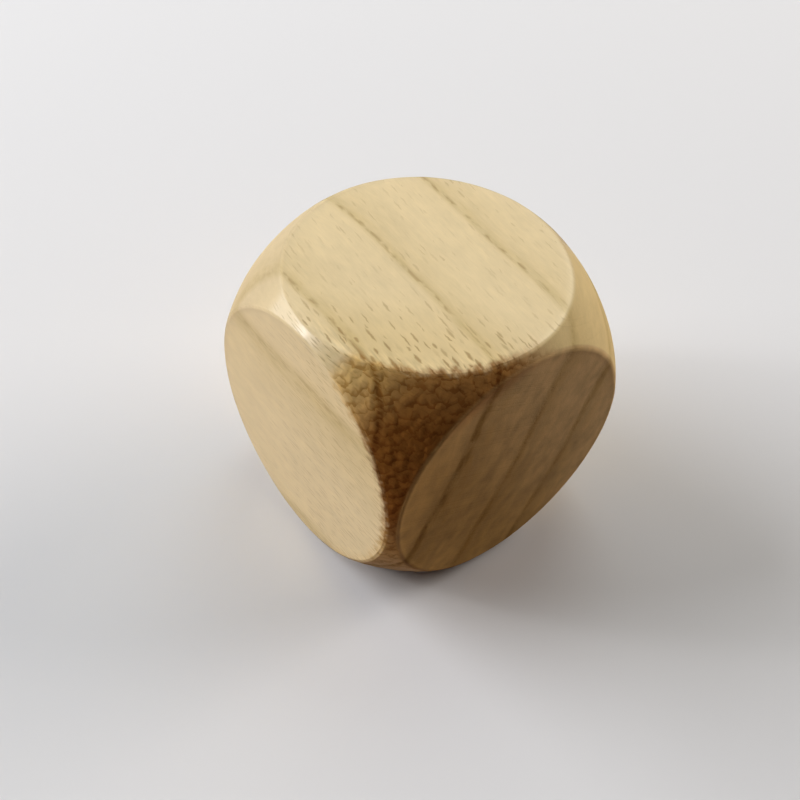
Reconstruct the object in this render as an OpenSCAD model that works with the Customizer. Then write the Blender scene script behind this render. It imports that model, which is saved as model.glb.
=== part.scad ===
// Small solid wooden cube: a block of straight-grained beech with its corners
// turned to a ball, so that each face is a round flat, then sanded until every
// rim is eased. The grain runs along X. It stands on the centre of its bottom
// flat, with +Z up. All sizes are in millimetres.

/* [Cube] */
// Side of the cube, across two opposite flats
side = 16; // [10:0.5:30]
// How far the rim of each round flat stays in from the cube's true edge
edge_inset = 0.5; // [0.3:0.05:1.5]

/* [Finish] */
// Radius that sanding leaves on the rim of each flat
rim_radius = 0.45; // [0.2:0.05:0.8]
// Colour of the wood
wood_color = "burlywood"; // [burlywood, wheat, tan, peru]

/* [Hidden] */
$fn = 128;

// The ball that rounds the corners passes through the rims of all the flats
half = side / 2;
flat_radius = half - edge_inset;
ball_radius = norm([half, flat_radius]);

// Between two neighbouring flats a strip of the ball has to stay, so the
// easing is never larger than what that strip has room for
strip_room = (half * sqrt(2) - ball_radius) / (sqrt(2) - 1);
easing = min(rim_radius, strip_room);

// The easing runs smoothly out of the flat, and crosses the ball at this small
// angle instead of only touching it
cross_angle = 4;
easing_centre = sqrt(
    pow(ball_radius, 2) + pow(easing, 2) - 2 * ball_radius * easing * cos(cross_angle));
easing_z = half - easing;
easing_x = sqrt(pow(easing_centre, 2) - pow(easing_z, 2));

// Direction in which the easing lies, from the middle of the cube and measured
// from the flat's own axis
lean = atan2(easing_x, easing_z);

// Right half of one cut through a pair of opposite flats: flat, eased rim, and
// then straight out past the ball to a point
module flats_outline() {
    leave_x = easing_x + easing * sin(lean);
    leave_y = easing_z + easing * cos(lean);
    point_x = (easing_centre + easing) / sin(lean);
    intersection() {
        translate([0, -side]) square(2 * side);
        union() {
            square([2 * easing_x, side], center = true);
            for (end = [-1, 1]) translate([easing_x, end * easing_z]) circle(easing);
            polygon([
                [0, -easing_z], [easing_x, -easing_z], [leave_x, -leave_y], [point_x, 0],
                [leave_x, leave_y], [easing_x, easing_z], [0, easing_z]]);
        }
    }
}

// A pair of opposite round flats with eased rims, square to Z
module flats() {
    rotate_extrude() flats_outline();
}

module wooden_cube() {
    color(wood_color)
        translate([0, 0, half])
            intersection() {
                sphere(ball_radius);
                flats();
                rotate([90, 0, 0]) flats();
                rotate([0, 90, 0]) flats();
            }
}

wooden_cube();
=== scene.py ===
import math
from types import SimpleNamespace

import bpy
import numpy as np
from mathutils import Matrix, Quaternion, Vector, noise


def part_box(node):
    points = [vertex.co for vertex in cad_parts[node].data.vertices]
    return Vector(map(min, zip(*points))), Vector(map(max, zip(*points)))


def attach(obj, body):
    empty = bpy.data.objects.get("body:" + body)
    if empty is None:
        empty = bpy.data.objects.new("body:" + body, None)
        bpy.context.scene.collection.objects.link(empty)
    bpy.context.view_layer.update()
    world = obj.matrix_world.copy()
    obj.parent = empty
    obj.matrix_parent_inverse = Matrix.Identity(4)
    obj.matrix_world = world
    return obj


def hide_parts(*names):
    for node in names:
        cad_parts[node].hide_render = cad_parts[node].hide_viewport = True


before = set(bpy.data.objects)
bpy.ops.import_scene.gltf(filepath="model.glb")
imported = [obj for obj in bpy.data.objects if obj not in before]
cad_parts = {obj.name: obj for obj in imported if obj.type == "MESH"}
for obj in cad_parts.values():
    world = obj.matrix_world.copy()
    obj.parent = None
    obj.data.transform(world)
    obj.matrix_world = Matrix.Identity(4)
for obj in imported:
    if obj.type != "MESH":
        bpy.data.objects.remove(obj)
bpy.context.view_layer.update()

mm = 0.001  # metres
boxLow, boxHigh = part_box("wooden_cube")
centre = (boxLow + boxHigh) / 2
half = (boxHigh.z - boxLow.z) / 2 / mm  # from the middle of the cube to each flat


class Socket:
    # An output in a node tree: an expression on it adds Math nodes, and node() adds any other
    def __init__(self, tree, output=None):
        self.tree = tree
        self.output = output

    def node(self, kind, settings, inputs, result=0):
        made = self.tree.nodes.new(kind)
        for name, value in settings.items():
            if name == "stops":
                setStops(made.color_ramp.elements, value)
            else:
                setattr(made, name, value)
        for name, value in inputs.items():
            target = findSocket(made.inputs, name)
            if isinstance(value, Socket):
                self.tree.links.new(value.output, target)
            else:
                target.default_value = value
        return Socket(self.tree, findSocket(made.outputs, result) if made.outputs else None)

    def maths(self, operation, *values):
        return self.node("ShaderNodeMath", {"operation": operation}, dict(enumerate(values)))

    def __add__(self, other):
        return self.maths("ADD", self, other)

    def __sub__(self, other):
        return self.maths("SUBTRACT", self, other)

    def __rsub__(self, other):
        return self.maths("SUBTRACT", other, self)

    def __mul__(self, other):
        return self.maths("MULTIPLY", self, other)

    def __truediv__(self, other):
        return self.maths("DIVIDE", self, other)

    __radd__ = __add__
    __rmul__ = __mul__

    def sine(self):
        return self.maths("SINE", self)

    def size(self):
        return self.maths("ABSOLUTE", self)

    def larger(self, other):
        return self.maths("MAXIMUM", self, other)

    def clamped(self):
        return self.node("ShaderNodeMath", {"operation": "ADD", "use_clamp": True}, {0: self, 1: 0.0})

    def rise(self, start, end):
        # 0 below start, 1 above end, and smooth between them
        settings = {"interpolation_type": "SMOOTHSTEP"}
        return self.node("ShaderNodeMapRange", settings, {"Value": self, 1: start, 2: end})

    def fall(self, start, end):
        return 1 - self.rise(start, end)

    def between(self, none, full):
        # From a share between 0 and 1 to a value between these two
        return none + (full - none) * self

    def vector(self, x, y, z):
        return self.node("ShaderNodeCombineXYZ", {}, {0: x, 1: y, 2: z})

    def vectorMaths(self, operation, *values, result="Vector"):
        return self.node("ShaderNodeVectorMath", {"operation": operation}, dict(enumerate(values)), result)

    def parts(self, vector):
        return [self.node("ShaderNodeSeparateXYZ", {}, {0: vector}, k) for k in range(3)]

    def noise(self, vector, detail, roughness=0.5):
        inputs = {"Vector": vector, "Scale": 1.0, "Detail": detail, "Roughness": roughness}
        return self.node("ShaderNodeTexNoise", {}, inputs, "Fac")

    def mixColour(self, factor, first, second, blend="MIX"):
        settings = {"data_type": "RGBA", "blend_type": blend}
        inputs = {"Factor": factor, "A": opaque(first), "B": opaque(second)}
        return self.node("ShaderNodeMix", settings, inputs, "Result")

    def tinted(self, colour, tint, factor):
        return self.mixColour(factor, colour, tint, "MULTIPLY")


def emptyTree(owner):
    # A material's or a world's own nodes, with none in them yet
    owner.use_nodes = True
    owner.node_tree.nodes.clear()
    return Socket(owner.node_tree)


def opaque(colour):
    return colour if isinstance(colour, Socket) else (*colour, 1)


def findSocket(sockets, name):
    if isinstance(name, int):
        return sockets[name]
    return next(s for s in sockets if s.name == name and s.enabled)


def setStops(elements, stops):
    # Greys for a colour ramp, which keeps at least one stop
    while len(elements) > 1:
        elements.remove(elements[-1])
    elements[0].position = stops[0][0]
    for place, value in stops[1:]:
        elements.new(place)
    for element, (place, value) in zip(elements, stops):
        element.position = place
        element.color = (value, value, value, 1)


# How the wood lies in the block and where it is worn, for its mesh and its material alike
grain = {
    "ringTilt": 24.8,  # degrees that the rings lean from the XZ plane, about X
    "ringLines": [-13.4, -9.08, -4.26, 0.46, 4.6, 9.0],  # dark latewood lines, across the rings
    "drift": (0.025, 0.35),  # how fast the rings lean as they run along X, and how that bends
    "slant": 0.05,  # how far the rays lean for each mm along X
    "endShift": 0.4,  # how far the rings bend across, close to the end flats
    # size, turns along X, turns beside and start of each wave in the rings
    "wobble": [(0.04, 0.45, 0.9, 0.0), (0.03, 1.1, -0.7, 1.3)],
    # how dark the wood is from one ring line: mm past it, then shares of the gap to the next
    "pastLine": [(-0.05, 1.0), (0.22, 0.9), (0.5, 0.45)],
    "inGap": [(0.3, 0.22), (0.5, 0.04)],
    "beforeLine": (0.30, 0.06),  # mm before the next line, and how dark it still is there
    "edge": (0.13, 0.15),  # how far the thin dark edge of a ring reaches, before and past its line
    "worn": (5.0, 9.2),  # x - y where the turned corners begin to be torn, and are fully so
    "ragged": 0.07,  # how far the torn grain's outline wanders, as a change of cosine
}


def wave(value):
    return value.sine() if isinstance(value, Socket) else np.sin(value)


def ringAxes(x, y, z):
    # Place across the rings and place beside the rays, for numbers, arrays or sockets
    tilt = math.radians(grain["ringTilt"])
    beside = y * math.sin(tilt) + z * math.cos(tilt) + x * grain["slant"]
    lean, bend = grain["drift"]
    across = y * math.cos(tilt) - z * math.sin(tilt) + x * lean * (1 - wave(beside * bend + math.pi / 2))
    atEnd = (x / half) * (x / half) * (x / half) * (x / half)
    across = across + grain["endShift"] * atEnd * atEnd  # the eighth power, so only close to the ends
    for size, alongTurns, besideTurns, start in grain["wobble"]:
        across = across + size * wave(x * alongTurns + beside * besideTurns + start)
    return across, beside


def ringStops():
    # How dark the wood is across the rings: it falls past each line and stays pale up to the next
    lines = grain["ringLines"]
    before, last = grain["beforeLine"]
    stops = []
    for line, after in zip(lines, lines[1:]):
        stops += [(line + past, dark) for past, dark in grain["pastLine"]]
        stops += [(line + share * (after - line), dark) for share, dark in grain["inGap"]]
        stops.append((after - before, last))
    return stops


def edgeStops():
    # The thin darkest edge of each ring
    before, past = grain["edge"]
    stops = []
    for line in grain["ringLines"]:
        stops += [(line - before, 0.0), (line, 1.0), (line + past, 0.0)]
    return stops


cubeShape = {
    "edgeInset": 0.5,  # how far a flat's rim stays in from the cube's true edge
    "rimRadius": 0.45,  # what sanding leaves on the rim
    "crossAngle": 4.0,  # degrees between the easing and the ball where they cross
    "flatRings": 34,  # rings of the mesh on a flat,
    "easingRings": 7,  # over its eased rim
    "ballRings": 23,  # and on the ball as far as the next face
    "crown": 0.05,  # how far sanding has let a flat fall by its rim
    "ballWaves": [(0.028, 0.16, 3.0), (0.008, 0.55, 11.0)],  # size, waves for each mm, seed shift
    "blend": 0.25,  # share of the ball's own rings over which its waves come in
    "ring": 0.010,  # how proud the hard latewood stands
    "sanding": (0.006, 2.0),  # low waves left by sanding: how high and how long
    "lump": (0.03, 0.45),  # lumps of torn grain: how high and how long
    "lumpsBegin": (0.17, 0.30),  # how far the surface faces an end, as a cosine, where they come in
    "lumpsEnd": (0.75, 0.90),  # and where they go again
    "chartMargin": 0.01,  # share of each face's square of the UV map that stays free around it
}


def ramp(value, start, end):
    return np.clip((value - start) / (end - start), 0, 1)


def waves(points, length, shift=0.0):
    offset = Vector((shift, shift, shift))
    return np.array([noise.noise(Vector(point) / length + offset) for point in points])


def relief(points, normals):
    # How far each point moves along its normal: only inwards, so that the cube stays within its box
    places, values = zip(*ringStops())
    ring = np.interp(ringAxes(*points.T)[0], places, values)
    facing = abs(normals[:, 0])
    torn = ramp(facing, *cubeShape["lumpsBegin"]) * (1 - ramp(facing, *cubeShape["lumpsEnd"]))
    torn = torn * ramp(points[:, 0] - points[:, 1], *grain["worn"])
    sandingHeight, sandingLength = cubeShape["sanding"]
    lumpHeight, lumpLength = cubeShape["lump"]
    out = cubeShape["ring"] * (ring - 1) + sandingHeight * (waves(points, sandingLength) - 1)
    return out + torn * lumpHeight * (waves(points, lumpLength) - 1)


def ballRadiusAt(directions):
    # The ball through the flats' rims, a little uneven from turning
    ball = math.hypot(half, half - cubeShape["edgeInset"])
    points = directions.reshape(-1, 3) * ball
    radius = np.full(len(points), ball)
    for size, perMm, shift in cubeShape["ballWaves"]:
        radius += size * waves(points, 1 / perMm, shift)
    return radius.reshape(directions.shape[:-1])


def polarDirections(polar, turn):
    return np.stack([np.sin(polar) * np.cos(turn), np.sin(polar) * np.sin(turn), np.cos(polar)], -1)


def easedRim(ball):
    # Where the easing's own centre lies out from a flat's middle, and the angle at which it meets the ball
    cross = math.radians(cubeShape["crossAngle"])
    easing = cubeShape["rimRadius"]
    centreAway = np.sqrt(ball ** 2 + easing ** 2 - 2 * ball * easing * math.cos(cross))
    centreOut = np.sqrt(centreAway ** 2 - (half - easing) ** 2)
    meeting = np.arctan2(centreOut, half - easing) - np.arcsin(easing * math.sin(cross) / centreAway)
    return centreOut, meeting


def faceGrid(axes):
    # One face as a square grid: discs on the flat, that widen to the arcs shared with its neighbours
    flatRings, easingRings, ballRings = (cubeShape[k] for k in ("flatRings", "easingRings", "ballRings"))
    steps = flatRings + easingRings + ballRings
    count = np.arange(-steps, steps + 1)
    u, v = np.meshgrid(count, count, indexing="ij")
    ring = np.maximum(abs(u), abs(v))
    wide = abs(u) >= abs(v)
    main = np.where(wide, u, v)
    offset = math.pi / 4 * np.where(wide, v, -u) / np.where(main == 0, 1, main)
    turn = np.where(wide, 0, math.pi / 2) + np.where(main < 0, math.pi, 0) + offset

    onFlat = np.minimum(ring / flatRings, 1)
    onEasing = np.clip((ring - flatRings) / easingRings, 0, 1)
    onBall = np.clip((ring - flatRings - easingRings) / ballRings, 0, 1)

    # The flat and its eased rim, where this face's ball radius puts it
    easing = cubeShape["rimRadius"]
    ball = ballRadiusAt(polarDirections(np.full(turn.shape, math.pi / 4), turn) @ axes)
    easingOut, meeting = easedRim(ball)
    lean = onEasing * (meeting - math.radians(cubeShape["crossAngle"]))
    out = easingOut * onFlat + easing * np.sin(lean)
    up = half - easing + easing * np.cos(lean) - cubeShape["crown"] * onFlat ** 2 * (1 - onEasing)

    # The ball, as far as the arc halfway to the next face
    polar = meeting + (np.arctan(1 / np.cos(offset)) - meeting) * onBall
    ballHere = ballRadiusAt(polarDirections(polar, turn) @ axes)
    radius = ball + (ballHere - ball) * np.minimum(onBall / cubeShape["blend"], 1)
    out = np.where(onBall > 0, radius * np.sin(polar), out)
    up = np.where(onBall > 0, radius * np.cos(polar), up)
    lean = np.where(onBall > 0, polar, lean)

    points = np.stack([out * np.cos(turn), out * np.sin(turn), up], -1) @ axes
    normals = polarDirections(lean, turn) @ axes
    chart = np.stack([out * np.cos(turn) / up, out * np.sin(turn) / up], -1)
    return points.reshape(-1, 3), normals.reshape(-1, 3), chart.reshape(-1, 2)


def gridQuads(steps):
    width = 2 * steps + 1
    index = np.arange(width * width).reshape(width, width)
    return np.stack([index[:-1, :-1], index[1:, :-1], index[1:, 1:], index[:-1, 1:]], -1).reshape(-1, 4)


def makeCube():
    steps = sum(cubeShape[k] for k in ("flatRings", "easingRings", "ballRings"))
    chartSize = 0.5 - cubeShape["chartMargin"]
    allPoints, allNormals, allQuads, allCharts = [], [], [], []
    for number in range(6):
        # Three pairs of opposite faces, and a 3 by 2 sheet of squares for their UV map
        along, sign = number // 2, 1 - 2 * (number % 2)
        up = np.roll([0, 0, sign], along + 1).astype(float)
        side = np.roll([1, 0, 0], along + 1).astype(float)
        points, normals, chart = faceGrid(np.stack([side, np.cross(up, side), up]))
        corner = np.array([number % 3, number // 3])
        allPoints.append(points)
        allNormals.append(normals)
        allQuads.append(gridQuads(steps) + number * len(points))
        allCharts.append((corner + 0.5 + chartSize * np.clip(chart, -1, 1)) / [3, 2])
    points, normals, quads, charts = map(np.concatenate, (allPoints, allNormals, allQuads, allCharts))

    # Neighbouring faces share the points on their common arc
    kept, back = np.unique(np.round(points, 4), axis=0, return_index=True, return_inverse=True)[1:]
    points, normals = points[kept], normals[kept]
    points = points + normals * relief(points, normals)[:, None]
    points[:, 2] = np.clip(points[:, 2], -half, half)

    mesh = bpy.data.meshes.new("beech_cube")
    mesh.from_pydata(points * mm + np.array(centre), [], back.reshape(-1)[quads])
    uvMap = mesh.uv_layers.new(name="OFBake")
    uvMap.data.foreach_set("uv", charts[quads.reshape(-1)].astype(np.float32).ravel())
    mesh.shade_smooth()
    mesh.update()
    cube = bpy.data.objects.new("beech_cube", mesh)
    bpy.context.scene.collection.objects.link(cube)
    return cube


# Noise in the wood: how often it changes for each mm along the grain, across the rings and beside
# them, where it starts, its detail, and its roughness where that isn't 0.5
figures = {
    "streak": (0.7, 4, 3, 0, 3),  # breaks up the rings
    "broken": (1.1, 2, 5, 0, 2),  # and their thin dark edges
    "fibre": (0.3, 6, 6, 0, 3, 0.6),
    "fine": (2.0, 14, 14, 0, 2),
    "blotch": (0.22, 0.4, 0.4, 0, 2),
    "mottle": (0.55, 1.3, 1.3, 3.0, 2),
    "soft": (1.1, 2.4, 2.4, 5.0, 1),
    "endPatch": (1, 1.3, 0.7, 1.5, 1),  # breaks up the rings on the end flats
    "rayPatch": (0.25, 0.35, 0.5, 7.0, 1),  # where the rays show
    "rayEdge": (4, 1, 5, 0, 1),  # their uneven outline
    "ragged": (1.6, 2.6, 2.6, 0, 3),  # the outline of the torn grain
    "frayed": (1.2, 7, 7, 0, 1),  # loose fibres beside it
    "torn": (1.1, 1.5, 1.5, 0, 1),  # light and dark over it
}

# Where things on the surface begin, and where they are whole or have gone
zones = {
    "endFlat": (0.26, 0.08),  # end grain: how far in from the plane of an end flat
    "nearEnd": (-1, 1),  # the +X half, in X
    "turnedEnds": (-6, 6),  # from one tint of the turned corners to the other, in X; the darker -X one is painted shade
    "nearEdge": (2, 10),  # towards the worn edge, in x - y
    "yellowerFlats": (5.5, 10),  # yellower flats: how far off the cube's true corner at +X, -Y and +Z
    "tornUp": (-5.5, -1.5),  # deeper tearing, in Z
    "scorched": (3.0, 6.4),  # scorched tearing with painted shade, in X
    "scorchUp": (-3, 1.5),  # and in Z; less of it low down, as painted light from the floor
    "scorchTop": (5.5, 8.2),  # where it eases off again, in Z, as painted light near the top
    "tornFootBounce": (1.5, 4),  # painted light from the floor, low down on the torn grain, in Z
    "tornFootBounceEnd": (6.5, 7.4),  # and in X
    "endFootBounce": (-5.5, -3.5),  # painted light from the floor by the bottom of the ends, in Z
    "pastRing": (-5.4, -4.4),  # the lighter side of one ring on the ends, across the rings
    "faintRings": (-3, -1),  # fainter rings on the ends, across the rings
    "endTintsAndLight": (-5, 8),  # from one tint of the +X end to the other, a painted light gradient, in y + 0.6 z
    "singedShade": (5.9, 7.4),  # the brown upper rim of the +X end, partly scorched and partly painted shade beside the shaded corner, in 0.9 z - 0.3 y
    "slanted": (0.19, 0.30),  # turned corners: how far the surface faces an end, as a cosine
    "turnedTintAndShade": (0, 0.4),  # and their tint, with its painted shade
    "onSides": (0.5, 0.9),  # the +Y and -Y flats: how far it faces along Y, as a cosine
    "rim": (0.77, 0.92),  # the rims in the torn corners: how far it faces as a flat does, as a cosine, for their painted shade
    "flat": (0.715, 0.758),  # the long-grain flats: how near the axis of one a place is, as a cosine
    "lumps": (0.70, 0.735),  # the end of the torn lumps, in the same measure
    "frayed": (0.735, 0.80),  # and of the loose fibres beside them
}

beechLook = {
    "early": (0.82, 0.655, 0.378),  # colours of the side grain
    "late": (0.69, 0.535, 0.27),
    "ray": (0.33, 0.19, 0.06),
    "endLate": (0.60, 0.54, 0.40),  # what the latewood turns to on the end flats
    "endTintsAndLight": [(0.60, 0.45, 0.25), (0.85, 0.735, 0.58)],  # on the +X end: darker end grain, with painted light lightening it from one side to the other
    "farEndTint": (0.72, 0.63, 0.49),  # on the -X end
    "turnedTintsAndShade": [(0.69, 0.68, 0.68), (0.95, 0.90, 0.71)],  # on the turned corners, from -X to +X; the darker -X tint is painted shade on the corners the key lamp lights most
    "yellowTint": (0.92, 0.895, 0.81),  # on the long-grain flats, towards the worn corner
    "tornTint": (0.95, 0.78, 0.48),  # where the torn grain begins
    "scorchTint": (0.47, 0.225, 0.065),  # and nearer the +X end, where the cutter rubbed hot; darker still as painted shade, where the corner faces away from the lamps
    "crackAndShadeTint": (0.60, 0.45, 0.24),  # painted shade in its hollows, on the side of each flake away from the key lamp, and along the ring lines that cross it

    "ringEdge": (0.65, 0.3, 0.33),  # strength of the dark edges; less on the ends, less on +Y and -Y
    "faintness": 0.75,  # how much of the rings fades on the ends, away from -Y
    "singeShade": 0.6,  # strength of the +X end's brown upper rim, partly painted shade
    "hollowDepth": 0.7,  # strength of the painted shade in the hollows

    # Values of the noise between which broken ring edges, end patches and rays come in
    "breaks": (0.44, 0.62),
    "endPatches": (0.32, 0.68),
    "rayPatches": (0.3, 0.65),

    "rayRoom": (1.2, 0.19, 6.0),  # room for one ray: along the grain, beside it and across the rings
    "rayLength": 0.9,
    "rayThickness": 0.065,
    "rayWander": 0.05,  # how far a ray's outline moves from side to side
    "flakeSize": (0.50, 0.43),  # a flake of torn grain, along the fibres and across them
    "flakeBend": (0.8, 1.3),  # how far flakes wander from their places, and how often that changes
    "flakeSoftness": 0.3,
    "flakeLap": (0.35, 0.25, -0.9),  # the way in which they lie over each other, which picks the side of each flake where painted shade falls
    "hollowOut": (0.3, 0.62),  # how far out on a flake it falls into a hollow of painted shade,
    "hollowUnder": (-0.25, 0.35),  # and how far to the flake's lower side
    "lumpMiddle": 0.6,  # height on a flake at which its painted light and shade neither lightens nor darkens

    # How much lighter or darker the wood gets, as a share of its colour
    "fibreTones": (0.10, 0.06),  # on most of the surface, and on the +Y and -Y flats
    "blotchTone": 0.12,
    "mottleTone": 0.12,
    "softTone": 0.10,
    "endPatchTones": (0.08, 0.20),  # on the -X end, and on the +X one
    "endBlotchTone": 0.25,
    "endMottleTone": 0.3,
    "pastRingTone": 0.22,
    # painted light from the floor by the bottom of the ends
    "endFootBounceTone": 0.14,
    "frayedTone": 0.7,
    "tornTone": 0.25,
    # painted light and shade on the lumps of torn grain: lighter where they stand up
    "lumpShadeTone": 0.16,
    # painted light from the floor on the torn grain low down
    "tornFootBounceTone": 0.17,
    "rimShadeTone": 0.5,  # how much darker the scorched corners' rims are: painted shade where they face the lamps

    # How proud things stand in the bump
    "fibreHeight": 0.007,
    "fineHeight": 0.005,
    "rayHeight": -0.003,
    "ringEdgeHeight": -0.01,
    "lumpHeight": 0.03,

    "roughness": 0.5,
    "fineRoughness": 0.12,
    "rayRoughness": 0.1,
    "cutRoughness": 0.15,  # where the fibres are cut across
    "wornRoughness": 0.35,
    "polish": 0.3,
    "specular": 0.12,
    "coat": (0.2, 0.17),  # weight and roughness, on edges that handling has polished
}


def figure(wood, here, name):
    along, across, beside, start, *detail = figures[name]
    place = wood.vector(here.x * along, here.across * across, here.beside * beside + start)
    return wood.noise(place, *detail)


def survey(wood):
    # Where a point is, from the middle of the cube, which way it faces and which zones it is in
    here = SimpleNamespace()
    place = wood.node("ShaderNodeTexCoord", {}, {}, "Object")
    fromCentre = wood.vectorMaths("SUBTRACT", place, centre)
    here.place = wood.node("ShaderNodeVectorMath", {"operation": "SCALE"}, {0: fromCentre, "Scale": 1 / mm})
    here.x, here.y, here.z = wood.parts(here.place)
    here.across, here.beside = ringAxes(here.x, here.y, here.z)
    facing = wood.node("ShaderNodeTexCoord", {}, {}, "Normal")  # cut, sideways and upright: along X, Y and Z
    here.cut, here.sideways, here.upright = (part.size() for part in wood.parts(facing))

    endStart, endWhole = zones["endFlat"]
    here.endGrain = here.x.size().rise(half - endStart, half - endWhole)
    here.sideGrain = 1 - here.endGrain
    here.nearEnd = here.x.rise(*zones["nearEnd"])
    here.nearEdge = (here.x - here.y).rise(*zones["nearEdge"])
    here.onSides = here.sideways.rise(*zones["onSides"])
    here.slanted = here.cut.rise(*zones["slanted"])
    here.oblique = here.slanted * here.sideGrain
    here.wornSide = (here.x - here.y).rise(*grain["worn"])
    here.worn = here.wornSide * here.oblique  # the torn corners, by the way they face

    # The turned surface between the long-grain flats, with a ragged edge where it is torn
    length = wood.vectorMaths("LENGTH", here.place, result="Value")
    here.lean = here.y.size().larger(here.z.size()) / length
    here.rough = here.wornSide * (here.x.size() / length).rise(*zones["slanted"])  # and by their place
    depth = here.rough * here.z.rise(*zones["tornUp"]).between(0.3, 1)
    ragged = (figure(wood, here, "ragged") - 0.5) * depth * grain["ragged"]
    here.turned = (here.lean + ragged).fall(*zones["flat"])
    here.torn = here.turned * depth * here.sideGrain
    # Scorched torn grain, partly painted shade: darker towards +X where the corner faces away from the
    # lamps, lighter low down and near the top as painted light from the floor and lamps
    here.scorch = here.x.rise(*zones["scorched"]) * here.z.rise(*zones["scorchTop"]).between(1, 0.8)
    here.scorch = here.scorch * here.z.rise(*zones["scorchUp"]).between(0.1, 1)
    return here


def bands(wood, across, stops):
    # A value across the rings, from stops in millimetres
    start, end = stops[0][0], stops[-1][0]
    shares = [((place - start) / (end - start), value) for place, value in stops]
    inputs = {"Fac": (across - start) / (end - start)}
    greys = wood.node("ShaderNodeValToRGB", {"stops": shares}, inputs, "Color")
    return wood.node("ShaderNodeSeparateColor", {}, {0: greys}, 0)


def rays(wood, here):
    # Ribbons that run across the rings, seen end on as short dashes; each has its own strength
    look = beechLook
    alongRoom, besideRoom, acrossRoom = look["rayRoom"]
    wander = (figure(wood, here, "rayEdge") - 0.5) * look["rayWander"]
    cells = wood.vector(here.x / alongRoom, (here.beside + wander) / besideRoom, here.across / acrossRoom)
    inputs = {"Vector": cells, "Scale": 1.0}
    nearest = wood.node("ShaderNodeTexVoronoi", {}, inputs, "Position")
    pick = wood.node("ShaderNodeTexVoronoi", {}, inputs, "Color")
    strength, length, thickness = (wood.node("ShaderNodeSeparateColor", {}, {0: pick}, k) for k in range(3))
    along, beside = wood.parts(wood.vectorMaths("SUBTRACT", cells, nearest))[:2]
    along = along * (2 * alongRoom) / (look["rayLength"] * (0.5 + length))
    thickness = look["rayThickness"] * thickness.between(0.6, 1.4) * here.nearEdge.between(0.8, 1.2)
    beside = (beside * (2 * besideRoom)).size() / thickness
    dashes = (along * along + beside).fall(0.25, 1.2)
    dashes = dashes * (strength + here.nearEdge * 0.5).rise(0.3, 1.0)

    # Fewer and fainter away from the worn edge, on the turned corners and on the +Y and -Y flats
    patch = figure(wood, here, "rayPatch").rise(*look["rayPatches"])
    dashes = dashes * (patch.between(0.4, 1) + 0.6 * here.nearEdge).clamped()
    dashes = dashes * here.nearEdge.between(0.4, 1)
    return dashes * here.oblique.between(1, 0.25) * here.onSides.between(1, 0.4)


def flakes(wood, here):
    # Torn grain: how far a place stands up on its flake, and painted shade in the hollows under the flakes,
    # on their side away from the key lamp
    look = beechLook
    along, across = look["flakeSize"]
    bend, bendScale = look["flakeBend"]
    place = wood.vector(here.x / along, here.across / across, here.beside / across)
    inputs = {"Vector": place, "Scale": bendScale, "Detail": 1.0}
    wander = wood.node("ShaderNodeTexNoise", {}, inputs, "Color")
    place = wood.vectorMaths("MULTIPLY_ADD", wander, (bend, bend, bend), place)
    inputs = {"Vector": place, "Scale": 1.0, "Smoothness": look["flakeSoftness"]}
    away = wood.node("ShaderNodeTexVoronoi", {"feature": "SMOOTH_F1"}, inputs, "Distance")
    nearest = wood.node("ShaderNodeTexVoronoi", {}, {"Vector": place, "Scale": 1.0}, "Position")
    offset = wood.vectorMaths("SUBTRACT", place, nearest)
    under = wood.vectorMaths("DOT_PRODUCT", offset, look["flakeLap"], result="Value")
    return 1 - away, away.rise(*look["hollowOut"]) * under.rise(*look["hollowUnder"])


def markings(wood, here):
    # What growth and the tools have left in the wood, each as a share or as a swing around 0
    marks = SimpleNamespace()
    for name in ("fibre", "fine", "blotch", "mottle", "soft", "frayed", "torn"):
        setattr(marks, name, figure(wood, here, name) - 0.5)
    marks.streak = figure(wood, here, "streak")
    marks.endPatch = figure(wood, here, "endPatch").rise(*beechLook["endPatches"])
    marks.ring = bands(wood, here.across, ringStops())
    whole = figure(wood, here, "broken").rise(*beechLook["breaks"]) + here.worn * 0.4
    marks.ringEdge = bands(wood, here.across, edgeStops()) * whole.clamped()
    marks.ringEdge = marks.ringEdge * (1 - 0.7 * here.oblique * (1 - here.worn))
    marks.ray = rays(wood, here)
    marks.lump, marks.hollow = flakes(wood, here)
    return marks


def grainColour(wood, here, marks):
    # Rings, their dark edges and the rays; on the end flats only the rings towards -Y are clear
    look = beechLook
    full, lessOnEnds, lessOnSides = look["ringEdge"]
    clear = 1 - here.endGrain * here.across.rise(*zones["faintRings"]) * look["faintness"]
    ring = (marks.ring * marks.streak.between(0.3, 1.5)).clamped()
    strength = full - lessOnEnds * here.endGrain - lessOnSides * here.onSides
    edge = marks.ringEdge * strength * clear
    endRing = (marks.ring * marks.endPatch.between(-0.1, 1.4)).clamped() * clear.between(0.4, 1)
    colour = wood.mixColour(ring, look["early"], look["late"])
    colour = wood.mixColour(edge, colour, look["ray"])
    colour = wood.mixColour(marks.ray * here.sideGrain.between(0.08, 0.68), colour, look["ray"])
    return wood.tinted(colour, look["endLate"], endRing * here.endGrain)


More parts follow.
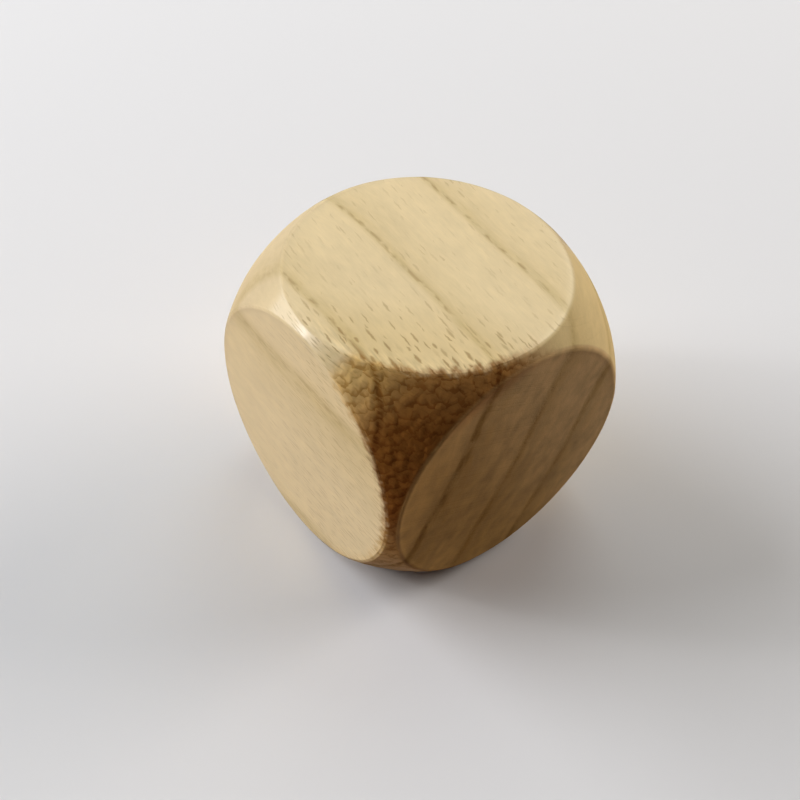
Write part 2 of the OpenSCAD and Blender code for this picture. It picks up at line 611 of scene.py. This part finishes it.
def agedAndShadedColour(wood, here, marks, colour):
    # Turned corners, darker at -X as painted shade; flats a little darker and yellower towards the worn one;
    # torn and scorched grain, partly painted shade and light; and darker ends with a painted light gradient
    look = beechLook
    # The +X end's brown upper rim: partly scorched grain, partly painted shade next to the shaded corner
    singedShade = (here.z * 0.9 - here.y * 0.3).rise(*zones["singedShade"])
    singedShade = here.endGrain * here.nearEnd * singedShade * look["singeShade"]
    colour = wood.tinted(colour, look["scorchTint"], singedShade)
    # Turned corners, darker towards -X: painted shade where the key lamp lights them most
    turnedTintAndShade = wood.mixColour(here.x.rise(*zones["turnedEnds"]), *look["turnedTintsAndShade"])
    turned = here.turned * here.cut.rise(*zones["turnedTintAndShade"]) * here.sideGrain * (1 - here.worn)
    colour = wood.tinted(colour, turnedTintAndShade, turned)
    cornerAway = wood.vectorMaths("DISTANCE", here.place, (half, -half, half), result="Value")
    # Flats a little darker and yellower towards the corner at +X, -Y and +Z
    yellowerFlats = cornerAway.fall(*zones["yellowerFlats"]) * here.sideGrain * (1 - here.turned)
    colour = wood.tinted(colour, look["yellowTint"], yellowerFlats * here.onSides.between(1, 0.4))

    # The scorched tint and its painted shade pass into the end flat's own over its rim
    scorched = wood.mixColour(here.scorch, look["tornTint"], look["scorchTint"])
    # The +X end: darker end grain, with painted light that makes it lighter towards +Y and upwards
    endTintAndLight = wood.mixColour((here.y + here.z * 0.6).rise(*zones["endTintsAndLight"]), *look["endTintsAndLight"])
    endTintAndLight = wood.mixColour(here.nearEnd, look["farEndTint"], endTintAndLight)
    tint = wood.mixColour(here.endGrain, scorched, endTintAndLight)
    colour = wood.tinted(colour, tint, here.torn + here.endGrain)
    # Painted shade in the hollows under the flakes, and the ring lines that cross the torn grain
    crack = marks.hollow * look["hollowDepth"] + marks.ringEdge * (0.9 + marks.streak)
    return wood.tinted(colour, look["crackAndShadeTint"], here.torn * crack.clamped())


def lightAndDark(here, marks):
    # How light each place is against its own colour: first the whole cube, and then its ends; some of it is
    # painted light and shade, as marked below
    look = beechLook
    shade = 1 + (marks.fibre + marks.fine) * here.onSides.between(*look["fibreTones"])
    shade = shade + marks.blotch * look["blotchTone"] + marks.mottle * look["mottleTone"]
    shade = shade + marks.soft * look["softTone"]
    endPatch = (marks.endPatch - 0.5) * here.endGrain * here.nearEnd.between(*look["endPatchTones"])
    endBlotch = marks.blotch * look["endBlotchTone"] + marks.mottle * look["endMottleTone"]
    shade = shade + endPatch + endBlotch * here.endGrain * here.nearEnd.between(0.3, 1)
    shade = shade + look["pastRingTone"] * here.endGrain * here.across.fall(*zones["pastRing"])
    # Painted light from the floor along the bottom of the ends
    shade = shade + look["endFootBounceTone"] * here.endGrain * here.z.fall(*zones["endFootBounce"])

    # Loose fibres on the flats beside the torn grain, and then the torn grain itself
    frayed = marks.frayed * here.onSides.between(1, 0.35) * here.turned.between(1, 0.4)
    frayed = frayed * here.wornSide * here.sideGrain * here.lean.fall(*zones["frayed"])
    shade = shade + frayed * look["frayedTone"]
    # Painted light and shade on the torn lumps: lighter where they stand up, darker in between
    lump = (marks.lump - look["lumpMiddle"]) * look["lumpShadeTone"]
    shade = shade + here.torn * (marks.torn * look["tornTone"] + lump)
    # Painted light from the floor, low down on the torn grain by the +X end
    footBounce = here.x.rise(*zones["tornFootBounceEnd"]) * here.z.fall(*zones["tornFootBounce"])
    shade = shade + look["tornFootBounceTone"] * here.torn * footBounce
    # Painted shade on the scorched corners' rims, which face the lamps as the flats do
    rim = here.sideways.larger(here.upright).rise(*zones["rim"])
    return shade - look["rimShadeTone"] * here.torn * here.scorch * rim


def beech():
    look = beechLook
    material = bpy.data.materials.new("beech")
    wood = emptyTree(material)
    here = survey(wood)
    marks = markings(wood, here)
    colour = agedAndShadedColour(wood, here, marks, grainColour(wood, here, marks))
    shade = lightAndDark(here, marks)
    colour = wood.tinted(colour, wood.vector(shade, shade, shade), 1.0)

    height = marks.fibre * look["fibreHeight"] + marks.fine * look["fineHeight"]
    height = height + marks.ray * look["rayHeight"] + marks.ringEdge * look["ringEdgeHeight"]
    lumps = here.worn * here.lean.fall(*zones["lumps"]) * marks.lump
    height = height + lumps * look["lumpHeight"]
    bump = wood.node("ShaderNodeBump", {}, {"Strength": 1.0, "Distance": mm, "Height": height})

    # Long-grain edges are rubbed smooth by handling, and the torn corners are rough
    polished = here.turned * (1 - here.slanted) * (1 - here.rough)
    roughness = look["roughness"] + marks.fine * look["fineRoughness"] + marks.ray * look["rayRoughness"]
    roughness = roughness + here.cut * look["cutRoughness"] + here.worn * look["wornRoughness"]
    roughness = roughness - polished * look["polish"]
    coat, coatRoughness = look["coat"]
    inputs = {"Base Color": colour, "Roughness": roughness, "Normal": bump}
    inputs.update({"Coat Weight": polished * coat, "Coat Roughness": coatRoughness})
    inputs["Specular IOR Level"] = look["specular"]
    surface = wood.node("ShaderNodeBsdfPrincipled", {}, inputs)
    wood.node("ShaderNodeOutputMaterial", {}, {"Surface": surface})
    print("beech:", len(material.node_tree.nodes), "nodes")
    return material


cube = makeCube()
cube.data.materials.append(beech())
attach(cube, "root")
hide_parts("wooden_cube")
print("cube:", len(cube.data.polygons), "faces")


studio = {
    "floorSize": 6.0,  # metres
    "floorColour": (0.79, 0.785, 0.78),
    "floorFade": (75, 150),  # how far off the floor begins to turn into the backdrop, and is all backdrop
    "floorBounce": (0.34, 0.265, 0.26),  # what the floor gives back to the wood
    "sky": (0.79, 0.785, 0.78),  # behind everything, as the camera sees it
    "fill": (0.0, 0.0, 0.0),  # what the room gives from all sides
    "lampDistance": 0.45,  # metres
    "lamps": [
        # name, direction from the cube, width in metres, strength, colour
        ("key", (-0.73, -0.54, 0.41), 0.42, 1.20, (0.99, 1, 1.05)),
        ("low key", (-0.86, -0.50, 0.14), 0.30, 0.10, (1, 1, 1)),
        ("glint", (-0.59, -0.69, 0.41), 0.05, 0.12, (1, 1, 1)),
        ("left", (-0.95, 0.10, 0.30), 0.30, 0.17, (1, 1, 1)),
        ("back", (0.23, 0.88, 0.42), 0.30, 0.61, (1, 0.93, 0.88)),
        ("low back", (0.0, 0.99, 0.14), 0.30, 0.11, (1, 1, 1)),
        ("above", (-0.40, 0.50, 0.75), 0.30, 0.24, (0.96, 1, 1)),
    ],
}


def seenElseLit(maker, seen, lit):
    # The first shader for what the camera sees, the second for the light that reaches the wood
    camera = maker.node("ShaderNodeLightPath", {}, {}, "Is Camera Ray")
    return maker.node("ShaderNodeMixShader", {}, {0: camera, 1: lit, 2: seen})


def makeFloor():
    size = studio["floorSize"] / 2
    mesh = bpy.data.meshes.new("floor")
    corners = [(-size, -size, 0), (size, -size, 0), (size, size, 0), (-size, size, 0)]
    mesh.from_pydata(corners, [], [(0, 1, 2, 3)])
    floor = bpy.data.objects.new("floor", mesh)
    bpy.context.scene.collection.objects.link(floor)

    material = bpy.data.materials.new("pale floor")
    maker = emptyTree(material)
    plain = maker.node("ShaderNodeBsdfDiffuse", {}, {"Color": opaque(studio["floorColour"])})
    backdrop = maker.node("ShaderNodeEmission", {}, {"Color": opaque(studio["sky"]), "Strength": 1.0})
    place = maker.node("ShaderNodeTexCoord", {}, {}, "Object")
    away = maker.vectorMaths("LENGTH", place, result="Value") / mm
    fade = away.rise(*studio["floorFade"])
    seen = maker.node("ShaderNodeMixShader", {}, {0: fade, 1: plain, 2: backdrop})
    lit = maker.node("ShaderNodeBsdfDiffuse", {}, {"Color": opaque(studio["floorBounce"])})
    maker.node("ShaderNodeOutputMaterial", {}, {"Surface": seenElseLit(maker, seen, lit)})
    mesh.materials.append(material)


def makeWorld():
    world = bpy.data.worlds.new("studio")
    bpy.context.scene.world = world
    maker = emptyTree(world)
    seen = maker.node("ShaderNodeBackground", {}, {"Color": opaque(studio["sky"]), "Strength": 1.0})
    lit = maker.node("ShaderNodeBackground", {}, {"Color": opaque(studio["fill"]), "Strength": 1.0})
    maker.node("ShaderNodeOutputWorld", {}, {"Surface": seenElseLit(maker, seen, lit)})


def makeLamp(name, direction, width, strength, colour):
    # Strength 1 lights a surface square to the lamp so that its colour shows as it is written
    distance = studio["lampDistance"]
    light = bpy.data.lights.new(name, "AREA")
    light.shape = "DISK"
    light.size = width
    light.energy = strength * (math.pi * distance) ** 2
    light.color = colour
    lamp = bpy.data.objects.new(name, light)
    lamp.location = centre + Vector(direction).normalized() * distance
    lamp.rotation_euler = (lamp.location - centre).to_track_quat("Z", "Y").to_euler()
    lamp.visible_camera = False
    bpy.context.scene.collection.objects.link(lamp)


cameraView = {
    "azimuth": 48.56,  # degrees round from -Y towards +X
    "elevation": 47.95,
    "distance": 64.77,
    "aim": (1.014, -2.044, 0.084),  # from the middle of the cube
    "roll": -4.815,
    "lens": 53.17,  # on a sensor 36 mm wide
}


def makeCamera():
    azimuth, elevation, roll = (math.radians(cameraView[k]) for k in ("azimuth", "elevation", "roll"))
    level = math.cos(elevation)
    back = Vector((math.sin(azimuth) * level, -math.cos(azimuth) * level, math.sin(elevation)))
    data = bpy.data.cameras.new("camera")
    data.lens = cameraView["lens"]
    data.clip_start = 0.001
    camera = bpy.data.objects.new("camera", data)
    camera.location = centre + (Vector(cameraView["aim"]) + back * cameraView["distance"]) * mm
    camera.rotation_mode = "QUATERNION"
    camera.rotation_quaternion = Quaternion(-back, roll) @ (-back).to_track_quat("-Z", "Y")
    bpy.context.scene.collection.objects.link(camera)
    bpy.context.scene.camera = camera


makeFloor()
makeWorld()
for lamp in studio["lamps"]:
    makeLamp(*lamp)
makeCamera()
bpy.context.scene.view_settings.view_transform = "Standard"
print("studio ready")
